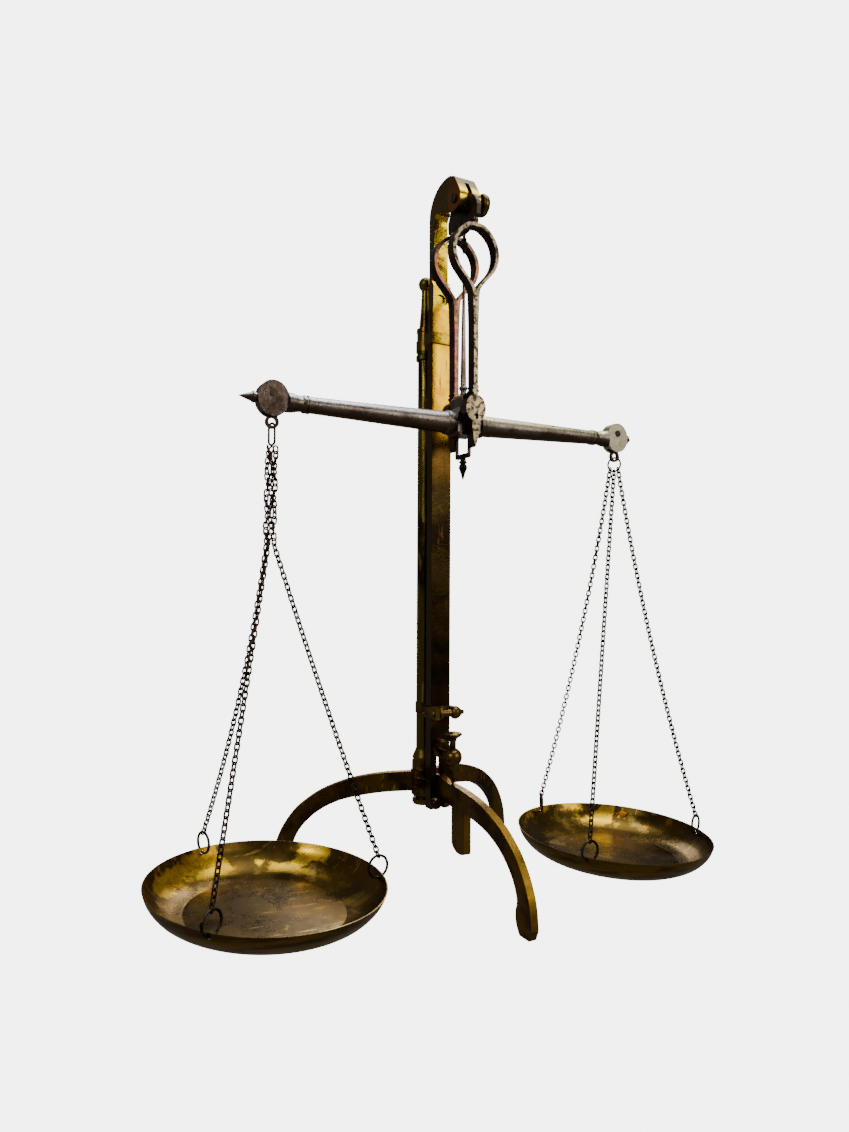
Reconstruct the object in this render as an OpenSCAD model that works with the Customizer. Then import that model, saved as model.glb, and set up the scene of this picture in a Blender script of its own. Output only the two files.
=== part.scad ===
// Apothecary balance: a brass tripod stand with a sliding swan-neck crook,
// steel shears, a turned steel beam with box ends and two brass pans on chains.
// Millimetres, +Z up, +X along the beam, -Y towards the front leg.

/* [Beam] */
// Fulcrum to each end knife
arm_length = 176; // [150:1:200]
// Height of the beam's axis above the table
beam_height = 416; // [400:0.5:425]
// Radius of an arm beside the centre block
arm_root_r = 9.5; // [8:0.1:11]
// Radius of an arm beside its end ferrule
arm_end_r = 6.5; // [5:0.1:7.5]
// Rise of each arm towards its end, in degrees
arm_rise = 0.6; // [0:0.1:1]
// Height of a box end's oval face
box_height = 28.5; // [26:0.5:34]
// Width of a box end's oval face
box_width = 25.5; // [22:0.5:28]
// Thickness of a box end, front to back
box_depth = 10.5; // [9.5:0.5:14]
// Width of the slot that the hanger swings in
box_slot = 4.4; // [4:0.1:5.4]
// Radius of the round knife ends
end_knife_r = 3.2; // [2.5:0.1:4]
// Length of the pointed finial on the left box end
left_spike_length = 14; // [10:0.5:18]
// Length of the worn finial on the right box end
right_spike_length = 8; // [6:0.5:18]
// Radius of the pointed finial's foot
spike_r = 4.6; // [3:0.1:5]
// Thickness of an end hanger
hanger_t = 3; // [2.4:0.1:3.4]
// Gap between the tongue's tip and the index above it
tongue_gap = 21; // [12:1:40]
// Width of the tongue's blade at its foot
tongue_width = 4.2; // [3:0.1:6]

/* [Shears] */
// Height of the cross pin that the shears hang on
pin_height = 617; // [610:1:640]
// Distance from the middle plane to the middle of a cheek
cheek_offset = 16.5; // [15:0.5:18]
// Width of a cheek's ribbon, front to back
cheek_depth = 10; // [8:0.5:12]
// Thickness of a cheek's ribbon, seen from the front
ribbon = 3.3; // [2.5:0.1:4]
// Half width of the open loop
loop_half = 23.5; // [20:0.5:28]
// Height of the loop, crown to crotch
loop_height = 64; // [56:1:70]
// Height of a cheek's boss disc
boss_height = 23.7; // [20:0.1:27]
// Width of a cheek's boss disc
boss_width = 20; // [17:0.1:23]
// Thickness of the hanger plate
hanger_plate_t = 4; // [3:0.1:5]
// Gap in the window of the stirrup
window_height = 18; // [14:0.5:24]
// Length of the finial under the stirrup
drop_length = 19; // [14:0.5:26]

/* [Standard] */
// Width of the rectangular standard
bar_width = 20; // [18:0.5:24]
// Depth of the rectangular standard
bar_depth = 10; // [9:0.5:12]
// Wall of the rectangular standard
bar_wall = 2; // [1.5:0.1:2.5]
// Height of the standard's top
bar_top = 531; // [520:1:540]
// Height of the standard's lower end
bar_foot = 65; // [60:1:68]
// Radius of the round pillar
tube_r = 7.1; // [6:0.1:8]
// Bore radius of the round pillar
tube_bore_r = 5.4; // [3:0.1:5.5]
// Gap between the standard and the round pillar
tube_gap = 15.7; // [14:0.1:18]
// Height of the ball finial's centre above the sleeve on the pillar
ball_rise = 44; // [35:0.5:60]
// Radius of the ball finial
ball_r = 7; // [5:0.5:8]
// How far the crook's stem reaches down inside the standard
stem_length = 330; // [250:5:360]

/* [Tripod] */
// Thickness of a leg plate
leg_t = 7; // [5:0.5:8]
// Angle between a rear leg and the beam's direction, seen from above
rear_splay = 24; // [20:1:32]
// Radius of the hub that the rear legs join
hub_r = 12; // [11.5:0.1:13]
// Height of the top of the hub's main barrel
hub_top = 95; // [94:0.5:98]
// Height of the levelling screw's ball
ball_nut_height = 117; // [116:0.5:120]
// Radius of the levelling screw's ball
ball_nut_r = 8.4; // [7:0.1:9]
// Radius of the levelling screw
level_screw_r = 2.9; // [2:0.1:3.2]
// Radius of the levelling screw's head
level_head_r = 8.5; // [7:0.1:11]

/* [Pans] */
// Rim radius of a pan
pan_r = 94; // [85:0.5:99]
// Radius of a pan's flat floor
pan_floor_r = 63; // [55:1:66]
// Depth of a pan
pan_depth = 24; // [18:0.5:25]
// Thickness of a pan's sheet brass
pan_wall = 1.2; // [1:0.1:2]
// Height of the left pan's rim
left_rim = 40.5; // [34:0.5:45]
// Height of the right pan's rim
right_rim = 30; // [29:0.5:45]
// How much the left pan hangs out of level, in degrees
left_tilt = 3.9; // [0:0.1:5]
// How much the right pan hangs out of level, in degrees
right_tilt = 3.1; // [0:0.1:3.5]
// Outer radius of the rings in the rim
rim_ring_r = 10; // [8:0.5:11]
// Wire radius of the rings in the rim
rim_ring_wire = 1.1; // [0.8:0.1:1.2]

/* [Chains] */
// Outer length of a chain link
link_length = 7.5; // [6.8:0.1:8]
// Outer width of a chain link
link_width = 5.1; // [4.8:0.1:5.4]
// Wire diameter of a chain link
link_wire = 1.35; // [1:0.05:1.4]
// Height over which the left chains lie twisted together
bundle_length = 77; // [50:1:110]
// How far the bundle's foot hangs to the left
bundle_lean = 1; // [0:0.5:5]
// Distance from the bundle's middle to each of its chains
bundle_r = 3.35; // [3.3:0.05:5]
// Turn of the twisted chains, in degrees
bundle_turn = 400; // [0:10:480]
// How far the slackest chain bows inwards from a straight line
chain_bow = 6; // [0:0.5:7]

/* [Fits] */
// Radial clearance of a turning pin
running = 0.05; // [0.02:0.01:0.1]
// Gap between parts that move past each other
clear = 0.3; // [0.3:0.05:0.4]
// Gap between fixed parts that are fitted together
seat = 0.02; // [0.01:0.01:0.05]

/* [Hidden] */
$fn = 48;
eps = 0.5;
BRASS = "#8a6a26";
OLD_BRASS = "#5a431a";
STEEL = "#8d8878";
DARK_STEEL = "#3a322b";
COPPERY = "#2e2019";

// Middle of the standard, front to back, behind the beam
bar_front = 38.7;
bar_y = bar_front + bar_depth / 2;
bar_back = bar_front + bar_depth;
tube_y = bar_back + tube_gap + tube_r;

// Leg outline: distance out from the leg's root plane, and height
leg_outer = [[0, 93.4], [28, 92], [54, 88], [72, 82.6], [88, 75.6], [99, 68.5], [110, 59.5],
             [118.5, 49], [125.5, 37], [130, 24], [132, 8]];
leg_inner = [[0, 75], [30, 73.6], [59, 69.3], [76, 64], [90, 56.4], [101, 46.8], [108.3, 37],
             [112.4, 26], [110.6, 17], [111.4, 8], [116, 0]];
foot_flat = [[116, 0], [128.6, 0], [132, 8]];
leg_reach = 132;
front_root_y = bar_front - 16.5;
rear_root = hub_r - 0.8;
front_foot_y = front_root_y - leg_reach;
rear_foot_y = tube_y + (rear_root + leg_reach) * sin(rear_splay) + leg_t / 2 * cos(rear_splay);
// Shift that puts the middle of the footprint over the origin
y_mid = (front_foot_y + rear_foot_y) / 2;

// Knives: the beam turns on the lower edge of the fulcrum knife
pivot_z = beam_height + 10;
end_edge_z = beam_height + 8.6;
box_z = beam_height + 3.2;
boss_z = beam_height + 11;
knife_hole_r = 2.5;
loop_top = pin_height - 27.5;
index_tip = pin_height - 49;
loop_crotch = loop_top - loop_height;
neck_z = boss_z + boss_height / 2;
boss_foot = boss_z - boss_height / 2;
cheek_in = cheek_offset - cheek_depth / 2;
cheek_out = cheek_offset + cheek_depth / 2;
block_y = cheek_in - 1;
stirrup_floor = beam_height - arm_root_r - window_height + 1;
stirrup_y = cheek_in - seat;
stud_offset = cheek_offset + 2.5;

// Cross pin and crook
pin_r = 3;
ear_in = hanger_plate_t / 2 + clear;
ear_out = 10.5;
crook_boss_r = 11;

// Levelling screw and the front leg's hinge
ball_y = 15.5;
leg_top_at_screw = 93.2;
hinge_z = 82;
hinge_r = 2.5;
slot_top = 126;
slot_w = leg_t + 2 * clear;
tip_z = leg_top_at_screw + clear;
head_z = ball_nut_height + ball_nut_r + 6;

// Clamp screw on the lower band
clamp_z = 154.5;
clamp_y = bar_front - 8.9;
clamp_r = 3;
band_h = 10;
guide_z = bar_top - 33;
collar_r = tube_r + 1.1;
collar_h = 30.5;
sleeve_foot = bar_top - 41;
ball_height = sleeve_foot + collar_h + ball_rise;

// End hangers and links
eye_z = box_z - box_height / 2 - 4;
eye_r = 5.4;
eye_hole_r = 3.2;
link_top_z = eye_z - eye_hole_r + 1.2;
link_yaw = 30;
ring_turn = 20;
left_link_h = 19;
left_link_w = 8;
ring_r = 7.7;
ring_wire = 0.9;
left_link_bottom = link_top_z + 2 * ring_wire - left_link_h;
ring_z = link_top_z + ring_wire - (ring_r - ring_wire);

// Chain attachments round each rim, seen from above, from +X
left_angles = [-6, 110, 228];
right_angles = [-15, 105, 215];

// Turn of each rim ring out of the rim's radial plane, and each chain's share of the bow
left_yaws = [12, -3, -18];
right_yaws = [36, -45, -35];
left_bows = [0.2, 1.3, 0.1];
right_bows = [1, 1, 0];
inner_link = link_length - 2 * link_wire;
max_pitch = inner_link - 0.1;

// A smooth curve through the points p, with n steps between neighbours
function blend(a, b, c, d, t) =
    0.5 * (2 * b + (c - a) * t + (2 * a - 5 * b + 4 * c - d) * t * t
           + (3 * b - a - 3 * c + d) * t * t * t);
function at(p, i) = p[min(max(i, 0), len(p) - 1)];
function curve(p, n = 5) = [
    for (i = [0:len(p) - 2]) for (k = [0:n - 1])
        blend(at(p, i - 1), at(p, i), at(p, i + 1), at(p, i + 2), k / n),
    p[len(p) - 1]
];
function backwards(p) = [for (i = [len(p) - 1:-1:0]) p[i]];
function ellipse(a, b, n = 48) = [for (i = [0:n - 1]) [a * cos(i * 360 / n), b * sin(i * 360 / n)]];

// Moves the model so that the footprint's middle is at the origin
module place() {
    translate([0, -y_mid, 0]) children();
}

// Stands an outline drawn as [x, z] upright, thick along Y and centred on y
module upright_xz(y, t) {
    translate([0, y + t / 2, 0]) rotate([90, 0, 0]) linear_extrude(t) children();
}

// Stands an outline drawn as [y, z] upright, thick along X and centred on x
module upright_yz(x, t) {
    translate([x - t / 2, 0, 0]) rotate([90, 0, 90]) linear_extrude(t) children();
}

// A turned piece: points [radius, height] from the axis
module turned(points) {
    rotate_extrude() polygon(points);
}

module along_x() {
    rotate([0, 90, 0]) children();
}

module along_y() {
    rotate([-90, 0, 0]) children();
}

// A round wire ring in the XZ plane
module wire_ring(outer, wire) {
    rotate([90, 0, 0]) rotate_extrude() translate([outer - wire, 0]) circle(wire, $fn = 24);
}

// A straight-sided oval link, long along Z, flat in the XZ plane
module oval_link(length, width, wire_d) {
    bend = (width - wire_d) / 2;
    half = (length - wire_d) / 2 - bend;
    for (end = [-1, 1])
        translate([0, 0, end * half])
            rotate([90, end > 0 ? 0 : 180, 0])
                rotate_extrude(angle = 180)
                    translate([bend, 0]) circle(wire_d / 2, $fn = 24);
    for (side = [-1, 1])
        translate([side * bend, 0, -half]) cylinder(h = 2 * half, d = wire_d, $fn = 24);
}

// Leg outline, from its root plane outwards
module leg_outline(root) {
    polygon(concat(root, curve(leg_outer), backwards([for (p = foot_flat) if (p[1] == 0) p]),
                   backwards(curve(leg_inner))));
}

module rear_leg(side) {
    azimuth = side > 0 ? rear_splay : 180 - rear_splay;
    place() color(OLD_BRASS) translate([0, tube_y, 0]) rotate([0, 0, azimuth])
        difference() {
            translate([rear_root, 0, 0]) upright_xz(0, leg_t) leg_outline([]);
            translate([0, 0, bar_foot]) cylinder(h = hub_top, r = hub_r + seat, $fn = 64);
        }
}

module rear_left_leg() {
    rear_leg(-1);
}

module rear_right_leg() {
    rear_leg(1);
}

// Barrel that the rear legs are brazed to, with its turned collar and flare
module hub() {
    bore = tube_r + seat;
    place() color(OLD_BRASS) translate([0, tube_y, 0]) turned(concat(
        [[bore, bar_foot + 4]],
        curve([[hub_r - 4, bar_foot + 4], [hub_r - 1.2, bar_foot + 6], [hub_r, bar_foot + 10]]),
        [[hub_r, hub_top], [hub_r - 2, hub_top], [hub_r - 2, hub_top + 1.5],
         [hub_r - 1, hub_top + 1.5], [hub_r - 1, hub_top + 8.5], [hub_r - 2, hub_top + 8.5]],
        curve([[hub_r - 2, hub_top + 10], [hub_r - 1.4, hub_top + 12], [hub_r - 3, hub_top + 16],
               [hub_r - 4.6, hub_top + 20]]),
        [[bore, hub_top + 20]]));
}

// Foot disc screwed up against the hub
module base_disc() {
    place() color(OLD_BRASS) translate([0, tube_y, 0]) turned([
        [0, bar_foot - 3], [hub_r - 3, bar_foot - 3], [hub_r - 1.5, bar_foot - 1],
        [hub_r - 1.5, bar_foot + 2.4], [hub_r - 5, bar_foot + 2.4], [hub_r - 5, bar_foot + 4 - seat],
        [0, bar_foot + 4 - seat]
    ]);
}

module pillar_tube() {
    place() color(BRASS) translate([0, tube_y, bar_foot + 4]) difference() {
        cylinder(h = sleeve_foot - bar_foot - 4, r = tube_r);
        translate([0, 0, -eps]) cylinder(h = bar_top, r = tube_bore_r);
    }
}

// Sleeve on top of the pillar, with a turned lip
module pillar_collar() {
    low = sleeve_foot;
    place() color(BRASS) translate([0, tube_y, 0]) turned([
        [0, low + seat], [tube_r + 2, low + seat], [tube_r + 2, low + 4],
        [collar_r, low + 5], [collar_r, low + 26], [collar_r + 0.4, low + 26.8],
        [collar_r + 0.4, low + collar_h], [0, low + collar_h]
    ]);
}

// Tapering rod and ball above the pillar
module ball_finial() {
    low = sleeve_foot + collar_h + seat;
    neck = 3.9;
    place() color(BRASS) translate([0, tube_y, 0]) turned(concat(
        [[0, low], [neck + 2.2, low]],
        curve([[neck + 2, low + 5], [neck + 0.8, low + 20], [neck, ball_height - ball_r]]),
        [for (a = [-50:14:76]) [ball_r * cos(a), ball_height + ball_r * sin(a)]],
        [[0, ball_height + ball_r]]));
}

// Hollow rectangular standard, slotted at its foot for the front leg
module standard_bar() {
    foot_cut = 46;
    place() color(BRASS) difference() {
        translate([-bar_width / 2, bar_front, bar_foot])
            cube([bar_width, bar_depth, bar_top - bar_foot]);
        translate([-bar_width / 2 + bar_wall, bar_front + bar_wall, slot_top + foot_cut])
            cube([bar_width - 2 * bar_wall, bar_depth - 2 * bar_wall, bar_top]);
        translate([-slot_w / 2, bar_front - eps, bar_foot - eps])
            cube([slot_w, bar_depth + 2 * eps, slot_top - bar_foot]);
        translate([-bar_width, bar_y, hinge_z])
            along_x() cylinder(h = 2 * bar_width, r = hinge_r + seat);
        translate([0, bar_front - eps, ball_nut_height + 9]) along_y()
            cylinder(h = bar_wall + 4, r = 3 + seat);
    }
}

// A strap round the standard that ends in an eye round the pillar
module strap(z, h, pillar_r) {
    grip = 2.4;
    eye = 0.9;
    place() color(OLD_BRASS) translate([0, 0, z]) difference() {
        union() {
            translate([-bar_width / 2 - grip, bar_front - grip, 0])
                cube([bar_width + 2 * grip, bar_depth + 2 * grip, h]);
            translate([-5, bar_back, 0]) cube([10, tube_y - bar_back, h]);
            translate([0, tube_y, 0]) cylinder(h = h, r = pillar_r + eye);
        }
        translate([-bar_width / 2 - seat, bar_front - seat, -eps])
            cube([bar_width + 2 * seat, bar_depth + 2 * seat, h + 2 * eps]);
        translate([0, tube_y, -eps]) cylinder(h = h + 2 * eps, r = pillar_r + seat);
    }
}

module guide_band() {
    strap(guide_z, band_h, collar_r);
}

// Lower strap, with the lug that its screw turns in
module clamp_band() {
    lug_x = -bar_width / 2 - 2.4;
    strap(clamp_z - band_h / 2, band_h, tube_r);
    place() color(OLD_BRASS) difference() {
        translate([lug_x, clamp_y - clamp_r - 1.6, clamp_z - band_h / 2])
            cube([4.4, bar_front - 2.4 - clamp_y + clamp_r + 1.6, band_h]);
        translate([lug_x - eps, clamp_y, clamp_z])
            along_x() cylinder(h = 6, r = clamp_r + running);
    }
}

// Cross screw of the lower strap, with its acorn head at the right
module clamp_screw() {
    left = -bar_width / 2 - 4;
    place() color(OLD_BRASS) translate([0, clamp_y, clamp_z]) along_x() turned(concat(
        [[0, left], [clamp_r - 0.6, left], [clamp_r, left + 0.6], [clamp_r, 6.5]],
        curve([[clamp_r + 1.2, 6.5], [5.4, 8], [6.1, 10.5], [5.2, 13.6], [3, 16.4], [2.2, 17.6],
               [1.9, 19.4]]),
        [[0, 20]]));
}

module clamp_collar() {
    place() color(BRASS) translate([-5.4, clamp_y, clamp_z]) along_x() turned([
        [clamp_r + seat, -1.5], [4.9, -1.5], [5.7, -0.6], [5.7, 0.6], [4.9, 1.5],
        [clamp_r + seat, 1.5]
    ]);
}

// Ball nut on its stud and boss, screwed into the face of the standard
module levelling_ball() {
    place() color(OLD_BRASS) difference() {
        union() {
            translate([0, ball_y, ball_nut_height]) sphere(ball_nut_r, $fn = 64);
            translate([0, ball_y, ball_nut_height + 0.5]) along_y()
                cylinder(h = bar_front - ball_y - 4, r = 3.4);
            translate([0, bar_front - 4.5, ball_nut_height + 4]) along_y() turned([
                [0, 0], [6, 0], [8.6, 1.4], [8.6, 4.5 - seat], [0, 4.5 - seat]
            ]);
            translate([0, bar_front - 1, ball_nut_height + 9]) along_y()
                cylinder(h = bar_wall + 2, r = 3);
        }
        translate([0, ball_y, ball_nut_height - 2 * ball_nut_r])
            cylinder(h = 4 * ball_nut_r, r = level_screw_r + running);
    }
}

module levelling_screw() {
    place() color(OLD_BRASS) translate([0, ball_y, 0]) turned([
        [0, tip_z], [1.1, tip_z], [level_screw_r, tip_z + 5], [level_screw_r, head_z - seat],
        [0, head_z - seat]
    ]);
}

// Flat-topped mushroom head that turns the levelling screw
module levelling_head() {
    place() color(BRASS) translate([0, ball_y, head_z]) turned(concat(
        [[0, 0], [level_screw_r + 0.4, 0]],
        curve([[level_screw_r + 0.4, 1.2], [level_screw_r + 1.6, 3], [level_head_r - 1.5, 4.6],
               [level_head_r, 6], [level_head_r - 0.3, 7]]),
        [[level_head_r - 1.4, 7.6], [0, 8.4]]));
}

// Front leg, with its spur and the root that hinges in the standard's slot
module front_leg() {
    spur = [[10.7, 78], [10.7, 42], [14, 38], [20, 35.3], [27, 35.3], [32.5, 37], [32.5, 73]];
    root = [[-3, 70.5], [-8, 69], [-13, 70.5], [-23.1, 72.6], [-28.3, 77], [-28.5, 84],
            [-25, 90], [-17.5, 97], [-12.5, 96.4]];
    place() color(BRASS) difference() {
        translate([0, front_root_y, 0]) rotate([0, 0, -90]) union() {
            upright_xz(0, leg_t) leg_outline(root);
            upright_xz(0, leg_t) polygon(spur);
        }
        translate([-leg_t, bar_y, hinge_z]) along_x()
            cylinder(h = 2 * leg_t, r = hinge_r + running);
        translate([-leg_t, front_root_y - 16, 44]) along_x() cylinder(h = 2 * leg_t, r = 1);
        translate([-leg_t, 30, 73]) along_x() cylinder(h = 2 * leg_t, r = 2 + seat);
    }
}

module leg_hinge_pin() {
    place() color(DARK_STEEL) translate([-bar_width / 2, bar_y, hinge_z]) along_x()
        cylinder(h = bar_width, r = hinge_r);
}

// Ball-ended pin through the leg, in front of the standard
module leg_stop_pin() {
    knob = 5.6;
    shank = 2;
    knob_x = leg_t / 2 + knob + 0.2;
    tip = [for (a = [0:13:143]) [knob * sin(a), -knob_x - knob * cos(a)]];
    half = concat(tip, [[shank, -knob_x + sqrt(knob * knob - shank * shank)]]);
    place() color(OLD_BRASS) translate([0, 30, 73]) along_x()
        turned(concat(half, [for (p = backwards(half)) [p[0], -p[1]]]));
}

// Swan neck: rises from a grooved foot on the standard, curls forward and ends in a
// fork of two round ears
module crook() {
    p = pin_height;
    rise = pin_height - bar_top;
    neck_half = ear_out - 3.1;
    foot_half = ear_out - 1.2;
    groove_half = 6.8;
    groove_y = 41.4;
    foot_top = bar_top + 0.31 * rise;
    screw_z = bar_top + 0.12 * rise;
    rear = [[bar_back - 0.5, bar_top], [50.4, bar_top + 0.2 * rise], [51, p - 0.35 * rise],
            [50.9, p - 0.02 * rise], [50, p + 7], [46.9, p + 14], [42.5, p + 19.2],
            [35.9, p + 24], [27.3, p + 26.7], [19.9, p + 27.4], [12, p + 26.4], [5, p + 22]];
    front = [[4, p - 9.4], [10, p - 7.6], [18, p - 5], [28, p - 1], [36, p + 2.4],
             [40, p + 1.6], [42.2, p - 4], [41.8, p - 0.2 * rise], [groove_y, p - 0.5 * rise],
             [groove_y, bar_top]];
    place() color(BRASS) difference() {
        union() {
            upright_yz(0, 2 * neck_half) polygon(concat(curve(rear), curve(front)));
            upright_yz(0, 2 * foot_half) polygon([
                [bar_front + 0.3, bar_top], [bar_front + 0.3, foot_top - 5],
                [groove_y + 0.6, foot_top], [bar_back - 1.2, foot_top], [bar_back - 1.2, bar_top]
            ]);
            upright_yz(0, 2 * ear_out) hull() {
                translate([0, p]) circle(crook_boss_r, $fn = 64);
                translate([5, p + 14.6]) circle(7.4);
            }
        }
        translate([-ear_in, -20, p - 24]) cube([2 * ear_in, 48, 38.5]);
        translate([-2 * ear_out, 0, pin_height]) along_x()
            cylinder(h = 4 * ear_out, r = pin_r + seat);
        translate([0, 20, screw_z]) along_y() cylinder(h = 23.5, r = 4.4);
        hull() for (z = [screw_z, foot_top + groove_half])
            translate([0, 30, z]) along_y() cylinder(h = groove_y - 30, r = groove_half);
    }
}

// Flat stem that slides inside the standard and carries the crook
module crook_slide() {
    w = bar_width - 2 * bar_wall - 2 * clear;
    d = bar_depth - 2 * bar_wall - 2 * clear;
    place() color(DARK_STEEL)
        translate([-w / 2, bar_y - d / 2, bar_top - stem_length])
            cube([w, d, stem_length - seat]);
}

// Pin through the ears: slotted head at the left, plain end for the nut
module cross_pin() {
    place() color(DARK_STEEL) translate([0, 0, pin_height]) difference() {
        along_x() union() {
            translate([0, 0, -ear_out - 1]) cylinder(h = ear_out + 25.5, r = pin_r);
            translate([0, 0, -ear_out - 1.5]) cylinder(h = 1.5 - seat, r = 4.2);
        }
        translate([-ear_out - 2.4, -0.6, -5]) cube([1.6, 1.2, 10]);
    }
}

module thumb_nut() {
    bore = pin_r + running;
    place() color(BRASS) translate([0, 0, pin_height]) along_x() turned(concat(
        [[bore, ear_out + clear], [5.2, ear_out + clear], [4.8, ear_out + 3]],
        curve([[6, ear_out + 4.6], [9.4, ear_out + 5.8], [10.2, ear_out + 8.4],
               [9.2, ear_out + 11.4], [6.8, ear_out + 12.8]]),
        [[5.4, ear_out + 12.2], [bore, ear_out + 12.2]]));
}

// Steel plate that hangs on the cross pin and spreads to both cheeks
module hanger_plate() {
    half = [[10.5, 2.6], [14.7, 0.9], [18, -1.4], [21, -4.4], [23.6, -8.4], [25.2, -12.6],
            [25.2, -16.5], [24.2, -21], [23.2, -22.6], [15.6, -22.6], [12, -25.6],
            [9.4, -28.8], [0, -30]];
    top = [for (a = [90:-15:30]) [7 * cos(a), 7 * sin(a)]];
    side = concat(top, half);
    place() color(DARK_STEEL) translate([0, 0, pin_height]) difference() {
        upright_yz(0, hanger_plate_t)
            polygon(concat(side, [for (i = [len(side) - 1:-1:0]) [-side[i][0], side[i][1]]]));
        translate([-hanger_plate_t, 0, 0]) along_x()
            cylinder(h = 2 * hanger_plate_t, r = pin_r + running);
    }
}

// Ringed studs, one over each cheek's crown
module cheek_studs() {
    top = pin_height - 22.6 - seat;
    place() color(STEEL) for (side = [-1, 1])
        translate([0, side * stud_offset, 0]) turned([
            [0, loop_top + seat], [2.2, loop_top + seat], [3.1, loop_top + 1.4],
            [2, loop_top + 2.4], [3, loop_top + 2.8], [3, loop_top + 3.6],
            [2, loop_top + 3.9], [2, top - 0.9], [2.6, top - 0.6], [2.6, top], [0, top]
        ]);
}

// Half outline of the loop as shares of its half width and height
loop_shape = [[0, 0], [0.36, -0.022], [0.68, -0.11], [0.91, -0.235], [1, -0.37], [0.965, -0.5],
              [0.82, -0.62], [0.54, -0.742], [0.3, -0.84], [0.17, -0.91]];

function loop_half_outline(inset) = curve([
    for (p = loop_shape)
        [max(p[0] * loop_half - inset * (p[0] > 0 ? 1 : 0), 0),
         loop_top + p[1] * loop_height - inset * (1 - p[0]) * (p[1] > -0.5 ? 1 : 0)]
]);

module cheek_outline() {
    outer = loop_half_outline(0);
    inner = loop_half_outline(ribbon);
    stem = ribbon / 2 + 0.4;
    stem_run = loop_crotch - neck_z;
    neck = [[stem + 1.1, loop_crotch], [stem + 0.8, loop_crotch - 0.1 * stem_run],
            [stem + 0.2, loop_crotch - 0.28 * stem_run], [stem, neck_z + 8],
            [stem + 0.7, neck_z + 7.4], [stem + 0.7, neck_z + 6.2], [stem, neck_z + 5.6],
            [stem, neck_z + 4.6], [stem + 1.2, neck_z + 4], [stem + 1.2, neck_z + 2.4],
            [stem, neck_z + 1.6], [stem + 0.4, neck_z - 3], [6.5, boss_z - 5],
            [3.6, boss_foot + 0.6], [3.3, boss_foot - 6], [2.2, boss_foot - 15],
            [0, boss_foot - 22]];
    side = concat(outer, neck);
    difference() {
        polygon(concat(side, [for (i = [len(side) - 1:-1:0]) [-side[i][0], side[i][1]]]));
        polygon(concat(inner, [[0, loop_crotch + 5]],
                       [for (i = [len(inner) - 1:-1:0]) [-inner[i][0], inner[i][1]]]));
    }
}

module cheek(side) {
    place() color(STEEL) difference() {
        union() {
            upright_xz(side * cheek_offset, cheek_depth) cheek_outline();
            upright_xz(side * cheek_offset, cheek_depth + 0.6)
                translate([0, boss_z]) polygon(ellipse(boss_width / 2, boss_height / 2));
        }
        translate([0, side > 0 ? cheek_in - eps : -cheek_in - 4, pivot_z + knife_hole_r - running])
            along_y() cylinder(h = 4 + eps, r = knife_hole_r);
        translate([0, side > 0 ? cheek_out - 2 : -cheek_out - 1, beam_height + 3.5])
            along_y() cylinder(h = 3, r = knife_hole_r);
        translate([0, -2 * cheek_out, loop_crotch - 4]) along_y()
            cylinder(h = 4 * cheek_out, r = 0.7, $fn = 24);
    }
}

module front_cheek() {
    cheek(-1);
}

module rear_cheek() {
    cheek(1);
}

// Pointed index that hangs from the plate over the tongue
module pendant_index() {
    top = pin_height - 30 - seat;
    place() color(DARK_STEEL) translate([0, 0, index_tip]) turned([
        [0, 0], [2.6, 6.4], [3.6, 9], [3.1, 11.6], [1.5, 12.8], [2.5, 13.6], [2.5, 15],
        [1.4, 15.8], [1.4, top - index_tip - 1], [2, top - index_tip], [0, top - index_tip]
    ]);
}

// U-shaped stirrup that ties the two cheeks below the beam
module stirrup() {
    bar = 2.2;
    floor_t = 4;
    inner = stirrup_y - bar;
    top = stirrup_floor + window_height - 4;
    place() color(DARK_STEEL) upright_yz(0, 2.6) polygon([
        [-stirrup_y, stirrup_floor - floor_t + 1.5], [-stirrup_y + 1.5, stirrup_floor - floor_t],
        [stirrup_y - 1.5, stirrup_floor - floor_t], [stirrup_y, stirrup_floor - floor_t + 1.5],
        [stirrup_y, top], [inner, top], [inner, stirrup_floor], [-inner, stirrup_floor],
        [-inner, top], [-stirrup_y, top]
    ]);
}

module stirrup_finial() {
    top = stirrup_floor - 4 - seat;
    place() color(DARK_STEEL) translate([0, 0, top - drop_length]) turned(concat(
        [[0, 0]],
        curve([[0.7, 0.6], [2, 5.6], [3.6, 9.6], [3.8, 11.6], [2.8, 13.6]], 3),
        [[2.2, drop_length - 4.8], [3.6, drop_length - 4], [3.6, drop_length - 2.8],
         [2.6, drop_length - 2], [2.6, drop_length], [0, drop_length]]));
}

// One turned arm, drawn along its own axis from the centre to the box
function arm_profile() = let (end = arm_length - box_width / 2 - 0.2, root = arm_root_r) concat(
    [[0, 0], [root, 0], [root, 13], [root + 1.3, 14.4], [root + 1.3, 18], [root, 19.4]],
    [[arm_end_r + 0.2, end - 18], [arm_end_r + 0.9, end - 17.6], [arm_end_r + 0.9, end - 15.8],
     [arm_end_r, end - 15.4], [arm_end_r, end - 14.4], [arm_end_r + 0.9, end - 14],
     [arm_end_r + 0.6, end - 12.4]],
    curve([[arm_end_r - 0.2, end - 11], [arm_end_r + 0.2, end - 8], [arm_end_r + 1, end - 4.6],
           [arm_end_r + 1.4, end - 2], [arm_end_r + 1.6, end + 2.8]], 3),
    [[0, end + 2.8]]);

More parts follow.
